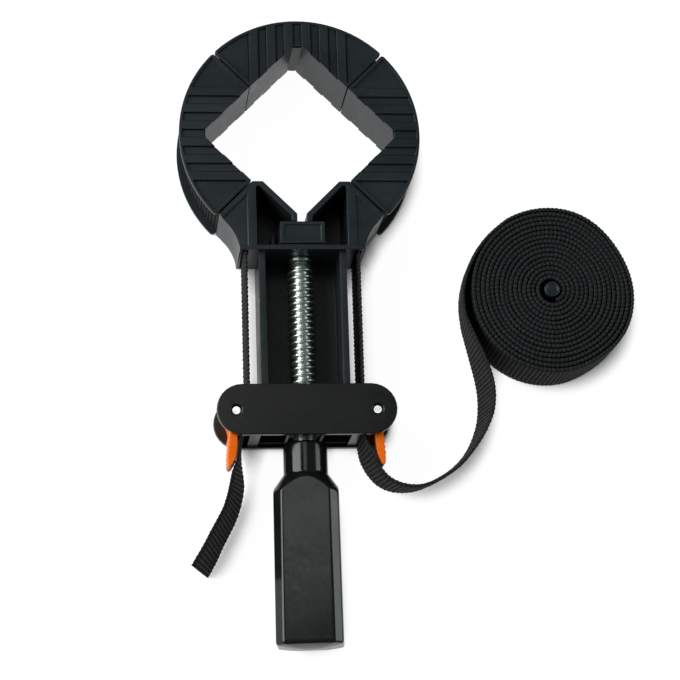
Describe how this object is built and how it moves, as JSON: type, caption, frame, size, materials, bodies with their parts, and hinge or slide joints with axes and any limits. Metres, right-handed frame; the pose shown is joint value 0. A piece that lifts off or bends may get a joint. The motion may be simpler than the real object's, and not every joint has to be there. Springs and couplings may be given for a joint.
{
  "type": "band clamp",
  "caption": "Band clamp whose webbing draws sliding corner jaws together round a frame, tightened by a handle and screw, with quick-release cam levers and a coil of spare webbing.",
  "frame": {"origin": "centre of the clamp's footprint without its free webbing, on the surface it lies on", "axes": "+Z out of the front face, +Y from the handle to the jaws along the screw, +X towards the coil of spare webbing"},
  "size_m": [0.1831, 0.256, 0.0296],
  "materials": {
    "black_plastic": "satin injection-moulded nylon, blue-grey black",
    "gloss_handle": "smooth gloss black moulding",
    "plate_plastic": "satin to gloss near-black moulding",
    "zinc_steel": "zinc plated, slightly greenish",
    "dark_steel": "dark steel",
    "orange_plastic": "satin bright orange moulding",
    "webbing": "tightly woven black webbing with crosswise ribs"
  },
  "bodies": {
    "head": {"clamp_body": "black_plastic", "screw_bearing_block": "black_plastic", "webbing_head_left": "webbing", "webbing_head_right": "webbing", "webbing_run_left": "webbing", "webbing_run_right": "webbing", "webbing_free_run": "webbing", "webbing_coil": "webbing", "coil_peg": "black_plastic"},
    "spindle": {"screw": "zinc_steel", "thrust_washer": "zinc_steel", "handle": "gloss_handle"},
    "carriage": {"carriage_front_plate": "plate_plastic", "carriage_back_plate": "plate_plastic", "nut_housing": "black_plastic", "drive_nut": "dark_steel", "left_lever_pin": "zinc_steel", "right_lever_pin": "zinc_steel", "webbing_grip_left": "webbing", "webbing_grip_right": "webbing", "webbing_tail": "webbing"},
    "left_lever": {"left_cam_lever": "orange_plastic"},
    "right_lever": {"right_cam_lever": "orange_plastic"},
    "left_corner": {"left_jaw": "black_plastic", "webbing_left_jaw": "webbing"},
    "right_corner": {"right_jaw": "black_plastic", "webbing_right_jaw": "webbing"},
    "top_corner": {"top_jaw": "black_plastic", "webbing_top_left": "webbing"},
    "top_right_band": {"webbing_top_right": "webbing"}
  },
  "joints": [
    {"name": "handle_spin", "type": "hinge", "parent": "head", "child": "spindle", "pos_m": [0, -0.06, 0.0148], "axis": [0, -1, 0], "range_deg": [0, 6005]},
    {"name": "carriage_slide", "type": "slide", "parent": "head", "child": "carriage", "axis": [0, 1, 0], "range_m": [0, 0.045], "deforming": ["webbing_run_left", "webbing_run_right", "webbing_free_run"]},
    {"name": "left_lever_pivot", "type": "hinge", "parent": "carriage", "child": "left_lever", "pos_m": [-0.0279, -0.0354, 0.0148], "axis": [0, 0, -1], "range_deg": [0, 75]},
    {"name": "right_lever_pivot", "type": "hinge", "parent": "carriage", "child": "right_lever", "pos_m": [0.0279, -0.0354, 0.0148], "axis": [0, 0, 1], "range_deg": [0, 75]},
    {"name": "left_corner_slide", "type": "slide", "parent": "head", "child": "left_corner", "axis": [-0.7071, 0.7071, 0], "range_m": [0, 0.0226]},
    {"name": "right_corner_slide", "type": "slide", "parent": "head", "child": "right_corner", "axis": [0.7071, 0.7071, 0], "range_m": [0, 0.0226]},
    {"name": "top_corner_slide", "type": "slide", "parent": "left_corner", "child": "top_corner", "axis": [0.7071, 0.7071, 0], "range_m": [0, 0.0226]},
    {"name": "top_right_band_slide", "type": "slide", "parent": "right_corner", "child": "top_right_band", "axis": [-0.7071, 0.7071, 0], "range_m": [0, 0.0226]}
  ],
  "couplings": [
    {"joint": "handle_spin", "follows": "carriage_slide", "rad_per_m": 2327.1},
    {"joint": "left_corner_slide", "follows": "carriage_slide", "ratio": 0.5},
    {"joint": "right_corner_slide", "follows": "carriage_slide", "ratio": 0.5},
    {"joint": "top_corner_slide", "follows": "carriage_slide", "ratio": 0.5},
    {"joint": "top_right_band_slide", "follows": "carriage_slide", "ratio": 0.5}
  ]
}
